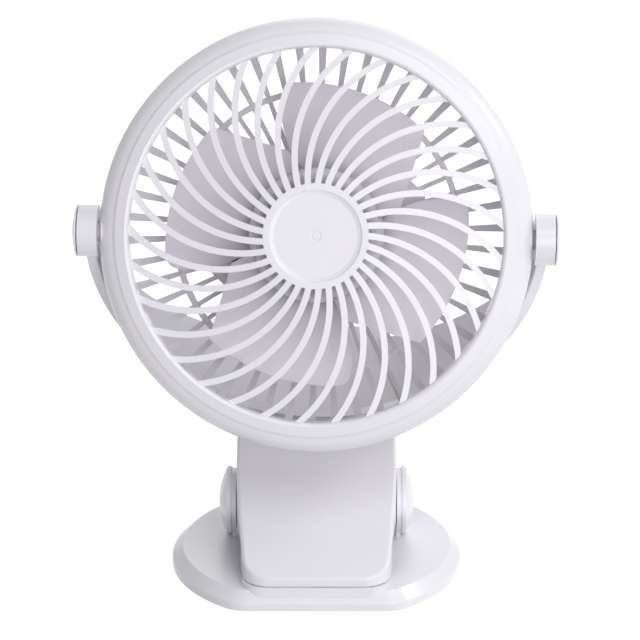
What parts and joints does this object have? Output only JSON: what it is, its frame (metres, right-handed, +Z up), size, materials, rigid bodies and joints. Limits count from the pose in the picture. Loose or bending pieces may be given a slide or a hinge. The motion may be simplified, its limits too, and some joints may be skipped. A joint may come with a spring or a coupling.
{
  "type": "clip fan",
  "caption": "White rechargeable clip fan: a round swirl-grilled head tilts in a swivelling yoke on a sprung clamp whose disc-shaped lower jaw also stands on a table.",
  "frame": {"origin": "centre of the round base, on the plane it stands on", "axes": "+X to the right as seen from the front, +Y away from the viewer, +Z up"},
  "size_m": [0.204, 0.1342, 0.2399],
  "materials": {
    "white_plastic": "Glossy white moulded plastic with a slight cool tint.",
    "grille_plastic": "Plain white moulded plastic of the rear guard, less glossy than the shells.",
    "impeller_plastic": "Smooth satin white plastic of the impeller.",
    "rubber_pad": "Soft off-white rubber of the grip pads and of the foot pad.",
    "screw_steel": "Plain zinc-plated steel of screws, axle and retaining ring.",
    "mount_screw": "Small dark screws behind the grille.",
    "spring_steel": "Drawn spring wire.",
    "cell_sleeve": "Shrink sleeve of the rechargeable cell; colour guessed.",
    "circuit_board": "Glass-fibre circuit board with solder mask; colour guessed.",
    "socket_steel": "Stamped steel shell of the charging socket.",
    "clear_lens": "Clear light guide of the charging lamp.",
    "dark_pin": "Dark plastic pin seen in the gap between the ring and the yoke.",
    "motor_steel": "Drawn steel can of the motor.",
    "bush_brass": "Sintered bronze bush of the motor.",
    "lead_sleeve": "Dark sleeve round the motor's two wires.",
    "shaft_steel": "Ground steel shaft."
  },
  "bodies": {
    "base": {"base_shell": "white_plastic", "base_plate": "white_plastic", "base_screws": "screw_steel", "anti_slip_pad": "rubber_pad", "lower_jaw_pad": "rubber_pad", "hinge_axle": "screw_steel", "hinge_cap_left": "white_plastic", "hinge_cap_right": "white_plastic", "torsion_spring": "spring_steel"},
    "upper_jaw": {"jaw_top_shell": "white_plastic", "jaw_bottom_shell": "white_plastic", "upper_jaw_pad": "rubber_pad", "jaw_screws": "screw_steel", "battery_cell": "cell_sleeve", "control_board": "circuit_board", "usb_socket": "socket_steel", "status_lens": "clear_lens"},
    "power_button": {"power_button": "white_plastic"},
    "yoke": {"yoke_frame": "white_plastic", "swivel_post": "white_plastic", "swivel_retainer": "screw_steel", "pivot_cap_left": "white_plastic", "pivot_cap_right": "white_plastic"},
    "head": {"outer_ring": "white_plastic", "front_grille": "white_plastic", "centre_cap": "white_plastic", "rear_grille": "grille_plastic", "motor_mount": "grille_plastic", "motor_mount_screws": "mount_screw", "motor": "motor_steel", "motor_bush": "bush_brass", "motor_lead": "lead_sleeve", "pivot_pin_left": "dark_pin", "pivot_pin_right": "dark_pin"},
    "impeller": {"impeller": "impeller_plastic", "motor_shaft": "shaft_steel"}
  },
  "joints": [
    {"name": "jaw_open", "type": "hinge", "parent": "base", "child": "upper_jaw", "pos_m": [0, 0.0113, 0.0233], "axis": [-1, 0, 0], "range_deg": [0, 32], "stiffness_Nm_per_rad": 0.5, "springref_deg": -74.48},
    {"name": "button_press", "type": "slide", "parent": "upper_jaw", "child": "power_button", "axis": [0, -0.866, -0.5], "range_m": [0, 0.0008], "stiffness_N_per_m": 800, "springref_m": -0.0006},
    {"name": "yoke_swivel", "type": "hinge", "parent": "upper_jaw", "child": "yoke", "pos_m": [0, 0.04068, 0.0667], "axis": [0, -0.5, 0.866], "range_deg": [-170, 170]},
    {"name": "head_tilt", "type": "hinge", "parent": "yoke", "child": "head", "pos_m": [0, -0.00857, 0.152], "axis": [-0.9996, 0.0236, 0.0136], "range_deg": [-75, 105]},
    {"name": "impeller_spin", "type": "hinge", "parent": "head", "child": "impeller", "pos_m": [0, -0.00857, 0.152], "axis": [-0.0189, -0.961, 0.2758], "continuous": true}
  ]
}
